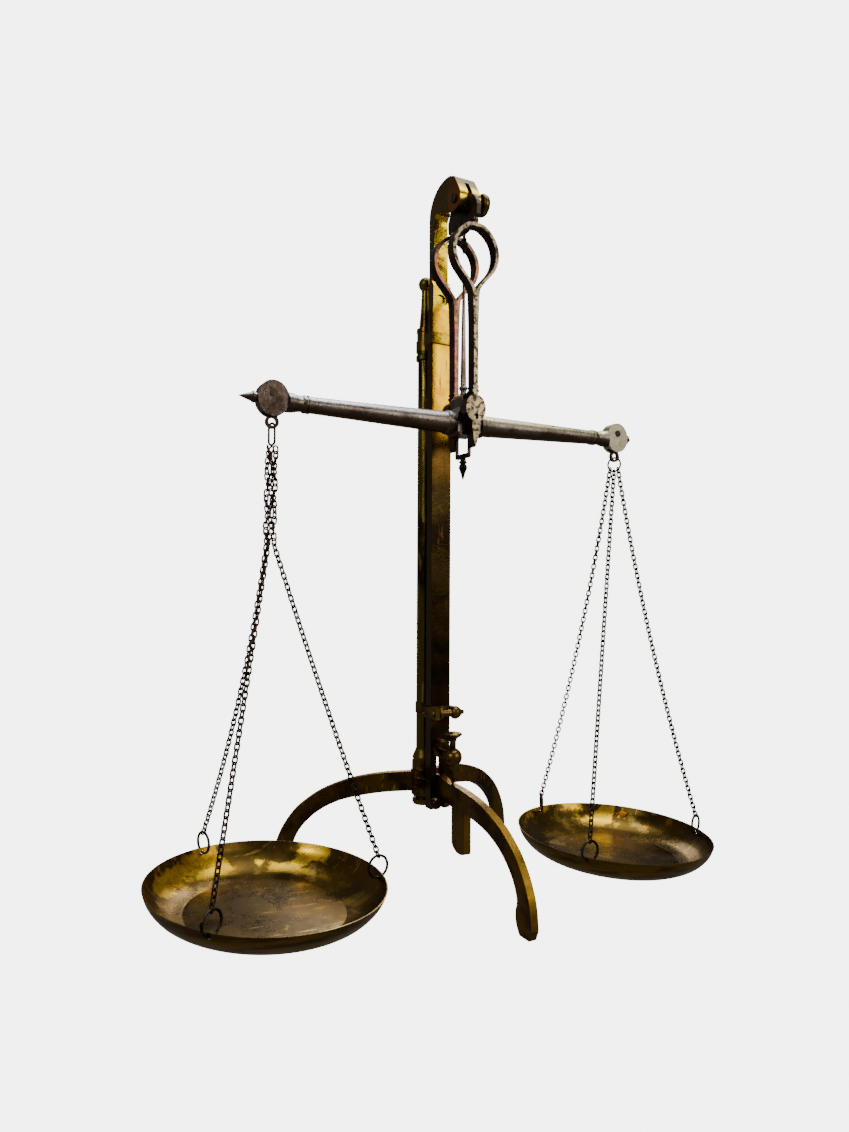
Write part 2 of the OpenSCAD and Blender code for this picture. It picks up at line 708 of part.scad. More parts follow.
module beam() {
    block_w = 17;
    place() color(STEEL) difference() {
        union() {
            for (side = [-1, 1])
                translate([0, 0, beam_height]) rotate([0, side * (90 - arm_rise), 0])
                    turned(arm_profile());
            upright_xz(0, 2 * block_y) polygon([
                [-block_w / 2 - 3, beam_height - 8], [-block_w / 2, beam_height - 11],
                [block_w / 2, beam_height - 11], [block_w / 2 + 3, beam_height - 8],
                [block_w / 2 + 3, beam_height + 7], [block_w / 2 - 1, beam_height + 14],
                [block_w / 2 - 1, beam_height + 22], [3.5, beam_height + 26],
                [-3.5, beam_height + 26], [-block_w / 2 + 1, beam_height + 22],
                [-block_w / 2 + 1, beam_height + 14], [-block_w / 2 - 3, beam_height + 7]
            ]);
        }
        translate([0, -20, pivot_z + 2.2]) along_y() cylinder(h = 40, r = 3.4 + seat);
        for (side = [-1, 1])
            translate([side * arm_length, 0, box_z]) upright_xz(0, 40)
                polygon(ellipse(box_width / 2 + seat, box_height / 2 + seat));
    }
}

// Fulcrum knife: round body in the block, three-sided edges in the cheeks
module fulcrum_knife() {
    place() color(DARK_STEEL) {
        translate([0, -block_y + clear, pivot_z + 2.2]) along_y()
            cylinder(h = 2 * (block_y - clear), r = 3.4);
        upright_xz(0, 2 * (cheek_in + 3.6)) translate([0, pivot_z])
            polygon([[0, 0], [1.8, 3.5], [0.9, 4.1], [-0.9, 4.1], [-1.8, 3.5]]);
    }
}

module tongue() {
    foot = beam_height + 26 + seat;
    collar = foot + 8;
    tip = index_tip - tongue_gap;
    place() color(STEEL) {
        translate([0, 0, foot]) turned([
            [0, 0], [3.6, 0], [2.6, 2.6], [2.6, 4], [3.2, 4.4], [4, 6.2], [3.2, 8], [2.4, 8.6],
            [2.4, 9.6], [0, 9.6]
        ]);
        upright_xz(0, 3) polygon([
            [-tongue_width / 2, collar + 1], [tongue_width / 2, collar + 1],
            [tongue_width / 2, collar + 6], [0.4, tip], [-0.4, tip], [-tongue_width / 2, collar + 6]
        ]);
    }
}

// Two oval plates joined at the sides, open below for the hanger
module end_box(side) {
    place() color(STEEL) translate([side * arm_length, 0, 0]) difference() {
        upright_xz(0, box_depth) translate([0, box_z])
            polygon(ellipse(box_width / 2, box_height / 2));
        translate([0, 0, box_z - 3]) upright_xz(0, box_slot) polygon([
            [-7.4, -20], [7.4, -20], [8.6, 0], [7.4, 9.2], [5, 12.2], [-5, 12.2], [-7.4, 9.2],
            [-8.6, 0]
        ]);
        translate([0, -box_depth, end_edge_z - 1.4]) along_y()
            cylinder(h = 2 * box_depth, r = end_knife_r + seat);
    }
}

module left_end_box() {
    end_box(-1);
}

module right_end_box() {
    end_box(1);
}

// Knife pressed across a box end: round ends and a three-sided middle, edge up
module end_knife(side) {
    plate = (box_depth - box_slot) / 2;
    place() color(DARK_STEEL) translate([side * arm_length, 0, 0]) {
        for (end = [-1, 1])
            translate([0, end > 0 ? box_slot / 2 : -box_depth / 2 - 0.6, end_edge_z - 1.4])
                along_y() cylinder(h = plate + 0.6, r = end_knife_r);
        upright_xz(0, box_slot + 0.4) translate([0, end_edge_z])
            polygon([[0, 0], [2.2, -3.2], [1.4, -4.2], [-1.4, -4.2], [-2.2, -3.2]]);
    }
}

module left_knife() {
    end_knife(-1);
}

module right_knife() {
    end_knife(1);
}

// Turned point at the outer edge of a box end
module spike(side, length) {
    place() color(STEEL) translate([side * (arm_length + box_width / 2 + seat), 0, box_z])
        rotate([0, side * 90, 0])
            turned([[0, 0], [spike_r - 1, 0], [spike_r - 1, 1.2], [spike_r, 1.6], [spike_r, 3],
                    [spike_r - 0.8, 3.6], [0.3, length], [0, length]]);
}

module left_spike() {
    spike(-1, left_spike_length);
}

module right_spike() {
    spike(1, right_spike_length);
}

// Thin plate that rides on an end knife and carries the link in its eye
module end_hanger(side) {
    t = hanger_t;
    place() color(DARK_STEEL) translate([side * arm_length, 0, 0]) difference() {
        union() {
            upright_xz(0, t) polygon([
                [-5, end_edge_z - 6], [-3.9, eye_z], [3.9, eye_z], [5, end_edge_z - 6],
                [5, end_edge_z], [3.4, end_edge_z + 3], [-3.4, end_edge_z + 3],
                [-5, end_edge_z]
            ]);
            translate([0, -t / 2, eye_z]) along_y() cylinder(h = t, r = eye_r);
        }
        translate([0, -10, end_edge_z - 3.4 + running]) along_y() cylinder(h = 20, r = 3.4);
        translate([0, -10, eye_z]) along_y() cylinder(h = 20, r = eye_hole_r);
    }
}

module left_hanger() {
    end_hanger(-1);
}

module right_hanger() {
    end_hanger(1);
}

// Long oval link below the left hanger
module left_link() {
    place() color(COPPERY) translate([-arm_length, 0, left_link_bottom + left_link_h / 2])
        rotate([0, 0, 90 + link_yaw]) oval_link(left_link_h, left_link_w, 2 * ring_wire);
}

module right_ring() {
    place() color(COPPERY) translate([arm_length, 0, ring_z])
        rotate([0, 0, 90 + ring_turn]) wire_ring(ring_r, ring_wire);
}

// Rim geometry: a pan's frame turns by its tilt about a level axis
function spun(v, angle, axis) = let (k = axis / norm(axis))
    v * cos(angle) + cross(k, v) * sin(angle) + k * (k * v) * (1 - cos(angle));
function rim_point(angle, rim, tilt, turn, r, up) =
    spun([r * cos(angle), r * sin(angle), up], tilt, turn) + [0, 0, rim];
left_turn = [sin(139), -cos(139), 0];
right_turn = [sin(143), -cos(143), 0];
ring_up = rim_ring_r - rim_ring_wire - 3.2;
ring_in = 3.4;

function ring_centre(angle, rim, tilt, turn) =
    rim_point(angle, rim, tilt, turn, pan_r - ring_in, ring_up - 0.4);
function ring_top(angle, rim, tilt, turn) =
    ring_centre(angle, rim, tilt, turn) + [0, 0, rim_ring_r - rim_ring_wire];

module rim_rings(x, angles, yaws, rim, tilt, turn) {
    for (k = [0:2])
        translate([x, 0, 0] + ring_centre(angles[k], rim, tilt, turn))
            rotate([0, 0, angles[k] + yaws[k]]) wire_ring(rim_ring_r, rim_ring_wire);
}

// Cutters for the holes in the rim: the same rings with thicker wire
module rim_holes(x, angles, yaws, rim, tilt, turn) {
    for (k = [0:2])
        translate([x, 0, 0] + ring_centre(angles[k], rim, tilt, turn))
            rotate([0, 0, angles[k] + yaws[k]]) rotate([90, 0, 0]) rotate_extrude()
                translate([rim_ring_r - rim_ring_wire, 0])
                    circle(rim_ring_wire + clear, $fn = 24);
}

module left_rim_rings() {
    place() color(COPPERY)
        rim_rings(-arm_length, left_angles, left_yaws, left_rim, left_tilt, left_turn);
}

module right_rim_rings() {
    place() color(COPPERY)
        rim_rings(arm_length, right_angles, right_yaws, right_rim, right_tilt, right_turn);
}

// Spun pan: flat floor, rounded corner and flaring side
module pan_shell() {
    inside = curve([[pan_floor_r, -pan_depth + pan_wall], [pan_floor_r + 10, -pan_depth + 3.6],
                    [pan_floor_r + 18.2, -pan_depth + 8], [pan_r - 7.8, -11.6],
                    [pan_r - 3.6, -6.2], [pan_r - pan_wall * 0.8, 0]]);
    outside = curve([[pan_r, 0], [pan_r - 2.4, -6.4], [pan_r - 6.6, -12.2],
                     [pan_floor_r + 19, -pan_depth + 7], [pan_floor_r + 10.4, -pan_depth + 2.5],
                     [pan_floor_r, -pan_depth]]);
    turned(concat([[0, -pan_depth], [0, -pan_depth + pan_wall]], inside, outside));
}

module pan(x, angles, yaws, rim, tilt, turn) {
    place() color(BRASS) difference() {
        translate([x, 0, rim]) rotate(a = tilt, v = turn) pan_shell($fn = 96);
        rim_holes(x, angles, yaws, rim, tilt, turn);
    }
}

module left_pan() {
    pan(-arm_length, left_angles, left_yaws, left_rim, left_tilt, left_turn);
}

module right_pan() {
    pan(arm_length, right_angles, right_yaws, right_rim, right_tilt, right_turn);
}

// Points one link, whose long side runs along d, with its flat turned by roll
module aim(p, d, roll) {
    translate(p) rotate([0, acos(d[2] / norm(d)), atan2(d[1], d[0])]) rotate([0, 0, roll])
        children();
}

// Run of links from the wire at p to the wire at q, bowed by its own weight. The flats of
// its first and last links face the compass directions face_p and face_q.
module hung_chain(p, q, wire_p, wire_q, face_p, face_q, bow) {
    d = (q - p) / norm(q - p);
    heading = atan2(d[1], d[0]);
    roll_p = 90 + heading - face_p;
    roll_q = 90 + heading - face_q;
    lean = asin(abs(d * [cos(face_q), sin(face_q), 0]));
    first = inner_link / 2 - wire_p - running;
    last = inner_link / 2 - wire_q / cos(lean) - link_wire / 2 * tan(lean) - running;
    run = norm(q - p) - first - last;
    n = ceil(run / max_pitch);
    twist = ((roll_q - roll_p - 90 * n) % 180 + 270) % 180 - 90;
    inwards = [0, 0, -1] + d[2] * d;
    across = 4 * bow / norm(inwards) * inwards;
    for (i = [0:n]) {
        u = i / n;
        leaning = i > 0 && i < n ? run * d + (1 - 2 * u) * across : d;
        aim(p + d * (first + run * u) + u * (1 - u) * across, leaning,
            roll_p + 90 * i + twist * u) oval_link(link_length, link_width, link_wire);
    }
}

// The part of a left chain that lies twisted with the other two
function bundle_point(a, t) =
    [bundle_r * cos(a + bundle_turn * t) - bundle_lean * t, bundle_r * sin(a + bundle_turn * t),
     -bundle_length * t];

bundle_arc = bundle_r * bundle_turn * PI / 180;
bundle_links = ceil(sqrt(bundle_length * bundle_length + bundle_arc * bundle_arc) / max_pitch);

module bundle_chain(a) {
    n = bundle_links;
    for (i = [0:n - 1])
        aim(bundle_point(a, (i + 0.5) / n), bundle_point(a, (i + 1) / n) - bundle_point(a, i / n),
            90 * i + 45) oval_link(link_length, link_width, link_wire);
}

module left_chain(k) {
    a = left_angles[k];
    start = [-arm_length, 0, left_link_bottom - link_length / 2 + 3.1];
    low = start + bundle_point(a - bundle_turn, 1);
    top = [-arm_length, 0, 0] + ring_top(a, left_rim, left_tilt, left_turn);
    place() color(COPPERY) {
        translate(start) bundle_chain(a - bundle_turn);
        hung_chain(low, top, 0, rim_ring_wire, a + 225 - 90 * (bundle_links - 1),
                   a + left_yaws[k], chain_bow * left_bows[k]);
    }
}

module right_chain(k) {
    a = right_angles[k];
    along = [-4.2, 4.6, 0.2][k];
    start = [arm_length - along * sin(ring_turn), along * cos(ring_turn),
             ring_z - sqrt(pow(ring_r - ring_wire, 2) - along * along)];
    top = [arm_length, 0, 0] + ring_top(a, right_rim, right_tilt, right_turn);
    slope = asin(abs(along) / (ring_r - ring_wire));
    hold = ring_wire / cos(slope) + link_wire / 2 * tan(slope);
    place() color(COPPERY)
        hung_chain(start, top, hold, rim_ring_wire, 90 + ring_turn, a + right_yaws[k],
                   chain_bow * right_bows[k]);
}

module left_front_chain() {
    left_chain(2);
}

module left_rear_chain() {
    left_chain(1);
}

module left_inner_chain() {
    left_chain(0);
}

module right_front_chain() {
    right_chain(2);
}

module right_rear_chain() {
    right_chain(1);
}

module right_outer_chain() {
    right_chain(0);
}

hub();
base_disc();
rear_left_leg();
rear_right_leg();
pillar_tube();
pillar_collar();
ball_finial();
standard_bar();
guide_band();
clamp_band();
clamp_screw();
clamp_collar();
levelling_ball();
levelling_screw();
levelling_head();
front_leg();
leg_hinge_pin();
leg_stop_pin();
crook();
crook_slide();
cross_pin();
thumb_nut();
hanger_plate();
cheek_studs();
front_cheek();
rear_cheek();
pendant_index();
stirrup();
stirrup_finial();
beam();
fulcrum_knife();
tongue();
left_end_box();
right_end_box();
left_knife();
right_knife();
left_spike();
right_spike();
left_hanger();
right_hanger();
left_link();
right_ring();
left_front_chain();
left_rear_chain();
left_inner_chain();
right_front_chain();
right_rear_chain();
right_outer_chain();
left_rim_rings();
right_rim_rings();
left_pan();
right_pan();
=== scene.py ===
import math

import bpy
from mathutils import Matrix, Vector

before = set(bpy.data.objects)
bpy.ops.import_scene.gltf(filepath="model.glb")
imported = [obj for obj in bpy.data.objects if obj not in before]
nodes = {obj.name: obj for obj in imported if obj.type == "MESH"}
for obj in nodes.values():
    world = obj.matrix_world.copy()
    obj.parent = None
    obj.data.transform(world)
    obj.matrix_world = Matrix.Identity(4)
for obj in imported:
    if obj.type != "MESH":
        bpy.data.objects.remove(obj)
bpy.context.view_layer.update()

# Camera: it stands a little above half the balance's height, in front and to the left,
# and looks almost level along a line 28 degrees round from straight behind the front leg.
camera_place = Vector((-0.3694, -0.6227, 0.2767))
camera_heading = math.radians(28.436)
camera_pitch = math.radians(0.85)
camera_roll = math.radians(0.298)
camera_lens = 25.47
camera_rise = 0.0022
nearest_seen = 0.02
camera_data = bpy.data.cameras.new("camera")
camera_data.lens = camera_lens
camera_data.shift_y = camera_rise
camera_data.clip_start = nearest_seen
ahead = Vector((math.sin(camera_heading) * math.cos(camera_pitch),
                math.cos(camera_heading) * math.cos(camera_pitch),
                math.sin(camera_pitch)))
level = Vector((math.cos(camera_heading), -math.sin(camera_heading), 0))
upright = level.cross(ahead)
right = level * math.cos(camera_roll) + upright * math.sin(camera_roll)
camera = bpy.data.objects.new("camera", camera_data)
axes = Matrix((right, right.cross(ahead), -ahead)).transposed().to_4x4()
camera.matrix_world = Matrix.Translation(camera_place) @ axes
bpy.context.scene.collection.objects.link(camera)
bpy.context.scene.camera = camera

# Studio: the photograph's pale surround without a horizon, and a dim room for the metal to
# mirror, with soft lights in front at the right, at the left, behind and overhead.
studio_pale = (0.91, 0.91, 0.895, 1)
studio_strength = 6.0
room_dim = (0.40, 0.38, 0.34, 1)
room_strength = 0.34
daylight = (1.0, 0.97, 0.90)
lamplight = (1.0, 0.95, 0.86)
warm_light = (1.0, 0.93, 0.8)
skylight = (0.95, 0.97, 1.0)
world = bpy.data.worlds.new("studio")
world.use_nodes = True
bpy.context.scene.world = world
sky = world.node_tree
surround = sky.nodes["Background"]
surround.inputs["Color"].default_value = studio_pale
surround.inputs["Strength"].default_value = studio_strength
room = sky.nodes.new("ShaderNodeBackground")
room.inputs["Color"].default_value = room_dim
room.inputs["Strength"].default_value = room_strength
seen = sky.nodes.new("ShaderNodeLightPath")
either = sky.nodes.new("ShaderNodeMixShader")
sky.links.new(seen.outputs["Is Camera Ray"], either.inputs["Fac"])
sky.links.new(room.outputs["Background"], either.inputs[1])
sky.links.new(surround.outputs["Background"], either.inputs[2])
sky.links.new(either.outputs["Shader"], sky.nodes["World Output"].inputs["Surface"])

for light_name, place, target, size, power, tone in (
    ("window_light", (1.0, -1.75, 1.05), (0, 0, 0.5), 0.95, 9, daylight),
    ("left_light", (-1.7, -0.9, 1.3), (0, 0, 0.3), 0.7, 7, lamplight),
    ("rear_light", (0.9, 1.6, 1.15), (0, 0, 0.3), 0.6, 9, warm_light),
    ("overhead_light", (0.3, 0.0, 2.0), (0, 0, 0.3), 1.5, 24, skylight),
):
    light_data = bpy.data.lights.new(light_name, "AREA")
    light_data.size = size
    light_data.energy = power
    light_data.color = tone
    light = bpy.data.objects.new(light_name, light_data)
    aim = (Vector(target) - Vector(place)).to_track_quat("-Z", "Y")
    light.matrix_world = Matrix.Translation(place) @ aim.to_matrix().to_4x4()
    bpy.context.scene.collection.objects.link(light)


# Hub and foot disc: the turned barrel that carries the round pillar and both rear legs,
# with the disc screwed up under it. Cast brass, turned and left to go brown with age,
# so the finish has blotches of tarnish, fine grain and a slight unevenness.
relief_depth = 0.0006
cloud_detail = 5.0
cloud_roughness = 0.62
mix_under, mix_over, mix_result = 6, 7, 2


def worn_metal(name, main, deep, patch=16.0, rough=(0.26, 0.5), uneven=0.12, grain=420.0):
    material = bpy.data.materials.new(name)
    material.use_nodes = True
    tree = material.node_tree
    coat = tree.nodes["Principled BSDF"]
    coat.inputs["Metallic"].default_value = 1.0
    coat.inputs["Base Color"].default_value = (*main, 1)
    place = tree.nodes.new("ShaderNodeTexCoord")
    finish = {"material": material, "tree": tree, "coat": coat, "place": place, "colour": None}
    lay_over(finish, blotches(finish, patch, 0.44, 0.62), deep, under=main)
    dull = blotches(finish, patch * 3.1, 0.3, 0.7)
    spread = tree.nodes.new("ShaderNodeMapRange")
    spread.inputs["To Min"].default_value = rough[0]
    spread.inputs["To Max"].default_value = rough[1]
    tree.links.new(dull, spread.inputs["Value"])
    tree.links.new(spread.outputs["Result"], coat.inputs["Roughness"])
    relief = tree.nodes.new("ShaderNodeBump")
    relief.inputs["Strength"].default_value = uneven
    relief.inputs["Distance"].default_value = relief_depth
    tree.links.new(blotches(finish, grain, 0.2, 0.8), relief.inputs["Height"])
    tree.links.new(relief.outputs["Normal"], coat.inputs["Normal"])
    return finish


def blotches(finish, scale, low, high, stretch=(1, 1, 1), shift=0.0):
    tree = finish["tree"]
    spread = tree.nodes.new("ShaderNodeMapping")
    spread.inputs["Scale"].default_value = stretch
    spread.inputs["Location"].default_value = (shift, shift, shift)
    cloud = tree.nodes.new("ShaderNodeTexNoise")
    cloud.inputs["Scale"].default_value = scale
    cloud.inputs["Detail"].default_value = cloud_detail
    cloud.inputs["Roughness"].default_value = cloud_roughness
    tree.links.new(finish["place"].outputs["Object"], spread.inputs["Vector"])
    tree.links.new(spread.outputs["Vector"], cloud.inputs["Vector"])
    return ramp(finish, cloud.outputs["Fac"], low, high)


def ramp(finish, value, low, high):
    step = finish["tree"].nodes.new("ShaderNodeMapRange")
    step.interpolation_type = "SMOOTHSTEP"
    step.inputs["From Min"].default_value = low
    step.inputs["From Max"].default_value = high
    finish["tree"].links.new(value, step.inputs["Value"])
    return step.outputs["Result"]


def lay_over(finish, mask, colour, under=None):
    blend = finish["tree"].nodes.new("ShaderNodeMix")
    blend.data_type = "RGBA"
    finish["tree"].links.new(mask, blend.inputs["Factor"])
    if finish["colour"]:
        finish["tree"].links.new(finish["colour"], blend.inputs[mix_under])
    else:
        blend.inputs[mix_under].default_value = (*under, 1)
    blend.inputs[mix_over].default_value = (*colour, 1)
    finish["colour"] = blend.outputs[mix_result]
    finish["tree"].links.new(finish["colour"], finish["coat"].inputs["Base Color"])


def along(finish, axis, low, high):
    split = finish["tree"].nodes.new("ShaderNodeSeparateXYZ")
    finish["tree"].links.new(finish["place"].outputs["Object"], split.inputs["Vector"])
    return ramp(finish, split.outputs[axis], low, high)


def facing(finish, axis, low, high):
    split = finish["tree"].nodes.new("ShaderNodeSeparateXYZ")
    finish["tree"].links.new(finish["place"].outputs["Normal"], split.inputs["Vector"])
    return ramp(finish, split.outputs[axis], low, high)


def both(finish, first, second):
    product = finish["tree"].nodes.new("ShaderNodeMath")
    product.operation = "MULTIPLY"
    finish["tree"].links.new(first, product.inputs[0])
    finish["tree"].links.new(second, product.inputs[1])
    return product.outputs["Value"]


def dress(finish, *names):
    for name in names:
        mesh = nodes[name].data
        mesh.materials.clear()
        mesh.materials.append(finish["material"])


tarnish_and_shade = (0.030, 0.019, 0.008)
gold = (0.62, 0.40, 0.07)
hub_brown = (0.20, 0.125, 0.032)
hub_brass = worn_metal("hub_brass", hub_brown, tarnish_and_shade, patch=34)
lay_over(hub_brass, blotches(hub_brass, 90, 0.56, 0.7, stretch=(1, 1, 3)), gold)
dress(hub_brass, "hub", "base_disc")

# Rear legs: flat arched plates of cast brass, brazed to the hub. Their sides are brown and scratched,
# the upward-facing top edge carries a painted highlight of brighter gold, and the downward-facing
# faces are darkened with painted shade.
leg_side = (0.20, 0.113, 0.017)
leg_shade = (0.055, 0.032, 0.009)
leg_top_highlight = (0.27, 0.16, 0.025)
rear_leg_brass = worn_metal("rear_leg_brass", leg_side, leg_shade, patch=22)
# Painted highlight: upward-facing faces are made a lighter gold.
lay_over(rear_leg_brass, facing(rear_leg_brass, "Z", 0.35, 0.8), leg_top_highlight)
# Painted shade: downward-facing faces are darkened to the tarnish colour.
lay_over(rear_leg_brass, facing(rear_leg_brass, "Z", -0.3, -0.8), tarnish_and_shade)
lay_over(rear_leg_brass, blotches(rear_leg_brass, 60, 0.6, 0.7, stretch=(4, 4, 1)), gold)
dress(rear_leg_brass, "rear_left_leg", "rear_right_leg")

# Pillar, its sleeve and the ball: a drawn brass tube with a turned sleeve on top and a
# tapering rod that ends in a ball. Green-brown patina with thin rubbed streaks.
pillar_olive = (0.17, 0.125, 0.022)
pillar_shade = (0.035, 0.026, 0.008)
pillar_streak = (0.5, 0.38, 0.06)
pillar_red = (0.35, 0.06, 0.015)
pillar_brass = worn_metal("pillar_brass", pillar_olive, pillar_shade, patch=12, rough=(0.16, 0.34))
lay_over(pillar_brass, blotches(pillar_brass, 30, 0.56, 0.66, stretch=(6, 6, 0.6)), pillar_streak)
lay_over(pillar_brass, blotches(pillar_brass, 50, 0.62, 0.7, stretch=(5, 5, 0.8), shift=3), pillar_red)
dress(pillar_brass, "pillar_tube", "pillar_collar", "ball_finial")

# Standard: a hollow rectangular bar of drawn brass. Its face carries a painted reflection in gold
# with orange patches above the beam, a painted half-lit band just under it, and is dark olive
# brown below, with lengthwise stains.
standard_olive = (0.060, 0.036, 0.010)
standard_shade = (0.022, 0.014, 0.006)
standard_half_lit = (0.11, 0.058, 0.012)
standard_side = (0.075, 0.045, 0.014)
standard_stain = (0.16, 0.07, 0.02)
reflection_gold = (0.82, 0.44, 0.0)
reflection_orange = (0.85, 0.30, 0.0)
half_lit_low, half_lit_high = 0.36, 0.385
reflection_low, reflection_high = 0.398, 0.424
standard_brass = worn_metal("standard_brass", standard_olive, standard_shade, patch=18,
                            rough=(0.2, 0.38))
# Painted reflection: everything above the beam is painted gold, except the sides.
reflection_above = along(standard_brass, "Z", reflection_low, reflection_high)
# Painted half-light: a lighter band on the front faces just below the painted reflection.
half_lit_front = both(standard_brass, along(standard_brass, "Z", half_lit_low, half_lit_high),
                   facing(standard_brass, "Y", -0.4, -0.8))
lay_over(standard_brass, half_lit_front, standard_half_lit)
lay_over(standard_brass, reflection_above, reflection_gold)
lay_over(standard_brass, facing(standard_brass, "X", -0.4, -0.8), standard_side)
stains = blotches(standard_brass, 26, 0.6, 0.72, stretch=(5, 5, 0.7))
lay_over(standard_brass, stains, standard_stain)
# Orange patches that appear only inside the painted reflection.
rubbed = blotches(standard_brass, 70, 0.58, 0.7, stretch=(4, 4, 0.8))
lay_over(standard_brass, both(standard_brass, rubbed, reflection_above), reflection_orange)
dress(standard_brass, "standard_bar")

# Straps: two bent and brazed bands that tie the standard to the pillar. The upper one is
# polished gold in front, the lower one carries the clamp screw's lug and is brown.
strap_gold = (0.80, 0.52, 0.0)
strap_shade = (0.12, 0.07, 0.02)
strap_side = (0.16, 0.10, 0.025)
strap_brass = worn_metal("strap_brass", strap_gold, strap_shade, patch=40)
lay_over(strap_brass, facing(strap_brass, "X", -0.4, -0.8), strap_side)
dress(strap_brass, "guide_band")
dress(hub_brass, "clamp_band")

# Clamp screw and its collar: turned brass, with an acorn head to grip. Brown, with the
# ridges rubbed bright.
dress(hub_brass, "clamp_screw", "clamp_collar")

# Levelling screw: a steel-dark brass screw with a mushroom head, working in a ball nut
# that stands out from the standard. Turned brass, brown, with lighter gold on the upward-facing tops.
ball_brown = (0.21, 0.12, 0.030)
ball_gold = (0.42, 0.27, 0.06)
ball_brass = worn_metal("ball_brass", ball_brown, tarnish_and_shade, patch=55, rough=(0.18, 0.36))
lay_over(ball_brass, facing(ball_brass, "Z", 0.6, 0.95), ball_gold)
dress(ball_brass, "levelling_ball", "levelling_head", "levelling_screw", "leg_stop_pin")

# Front leg: a flat arched plate with a spur, hinged in the foot of the standard on a
# steel pin. Golden brown with scratches, brighter along the outer edge.
front_leg_gold = (0.21, 0.115, 0.015)
front_leg_shade = (0.07, 0.040, 0.009)
front_leg_edge = (0.36, 0.20, 0.020)
front_leg_scratch = (0.32, 0.18, 0.022)
front_leg_brass = worn_metal("front_leg_brass", front_leg_gold, front_leg_shade, patch=26)
outer_edge = both(front_leg_brass, facing(front_leg_brass, "Y", -0.1, -0.5),
                  facing(front_leg_brass, "Z", -0.2, 0.1))
lay_over(front_leg_brass, outer_edge, front_leg_edge)
scratches = blotches(front_leg_brass, 46, 0.6, 0.72, stretch=(1, 4, 2))
lay_over(front_leg_brass, scratches, front_leg_scratch)
dress(front_leg_brass, "front_leg")
pin_grey = (0.16, 0.13, 0.10)
pin_shade = (0.05, 0.035, 0.025)
pin_steel = worn_metal("pin_steel", pin_grey, pin_shade, patch=60)
dress(pin_steel, "leg_hinge_pin")

# Crook: a swan neck of cast brass that slides out of the standard on a flat stem. The
# hollow front carries a painted highlight of bright yellow, the sides are olive brown, the upper
# head is darkened with painted shade and darker blotches, and the left ear is coppery.
crook_olive = (0.15, 0.105, 0.018)
crook_shade = (0.045, 0.028, 0.009)
crook_front_highlight = (1.0, 0.66, 0.0)
crook_stain = (0.30, 0.17, 0.02)
ear_copper = (0.34, 0.10, 0.012)
head_painted_shade = (0.15, 0.085, 0.008)
head_shade = (0.10, 0.060, 0.012)
ear_low, ear_high = 0.598, 0.606
ear_back, ear_front = 0.003, -0.001
head_low, head_high = 0.622, 0.630
crook_brass = worn_metal("crook_brass", crook_olive, crook_shade, patch=24, rough=(0.14, 0.3))
# Painted highlight: front-facing faces are made bright yellow.
lay_over(crook_brass, facing(crook_brass, "Y", -0.35, -0.8), crook_front_highlight)
front_stains = both(crook_brass, blotches(crook_brass, 55, 0.55, 0.64, stretch=(1, 1, 2)),
                    facing(crook_brass, "Y", 0.2, -0.6))
lay_over(crook_brass, front_stains, crook_stain)
ear = both(crook_brass, along(crook_brass, "Z", ear_low, ear_high),
           along(crook_brass, "Y", ear_back, ear_front))
lay_over(crook_brass, both(crook_brass, ear, facing(crook_brass, "X", -0.4, -0.8)), ear_copper)
# Painted shade: the upper head is darkened, except on faces turned to the rear.
head = both(crook_brass, along(crook_brass, "Z", head_low, head_high),
            facing(crook_brass, "Y", 0.5, -0.3))
lay_over(crook_brass, head, head_painted_shade)
# Darker blotches inside the painted shade.
head_clouds = blotches(crook_brass, 48, 0.48, 0.60, shift=6)
lay_over(crook_brass, both(crook_brass, head, head_clouds), head_shade)
dress(crook_brass, "crook")
dress(pin_steel, "crook_slide", "cross_pin")

# Thumb nut: turned brass on the plain end of the cross pin, brown and gold.
dress(ball_brass, "thumb_nut")

# Hanger plate and index: forged steel that carries the shears from the cross pin, nearly
# black with age.
plate_brown = (0.085, 0.060, 0.045)
plate_shade = (0.025, 0.018, 0.014)
plate_rubbed = (0.30, 0.22, 0.15)
plate_steel = worn_metal("plate_steel", plate_brown, plate_shade, patch=40)
lay_over(plate_steel, blotches(plate_steel, 120, 0.6, 0.72), plate_rubbed)
dress(plate_steel, "hanger_plate", "pendant_index", "stirrup", "stirrup_finial")

# Cheeks: the two forged steel halves of the shears, each a loop, a stem and a bearing
# boss. Their faces are filed and polished pale, their edges are brown with rust.
cheek_edge = (0.085, 0.052, 0.035)
cheek_shade = (0.03, 0.018, 0.013)
cheek_rust = (0.26, 0.12, 0.06)
front_face, front_pits = (0.36, 0.29, 0.165), (0.05, 0.032, 0.022)
rear_face, rear_pits = (0.16, 0.105, 0.08), (0.42, 0.15, 0.07)
for cheek_name, face_tone, pit_tone in (
    ("front_cheek", front_face, front_pits),
    ("rear_cheek", rear_face, rear_pits),
):
    cheek_steel = worn_metal(cheek_name + "_steel", cheek_edge, cheek_shade, patch=40,
                             rough=(0.22, 0.42))
    lay_over(cheek_steel, blotches(cheek_steel, 75, 0.58, 0.72), cheek_rust)
    cheek_face = facing(cheek_steel, "Y", -0.45, -0.8)
    lay_over(cheek_steel, cheek_face, face_tone)
    pits = both(cheek_steel, cheek_face, blotches(cheek_steel, 210, 0.46, 0.58))
    lay_over(cheek_steel, pits, pit_tone)
    dress(cheek_steel, cheek_name)
stud_pale = (0.60, 0.51, 0.36)
stud_shade = (0.10, 0.07, 0.05)
stud_steel = worn_metal("stud_steel", stud_pale, stud_shade, patch=70)
dress(stud_steel, "cheek_studs")

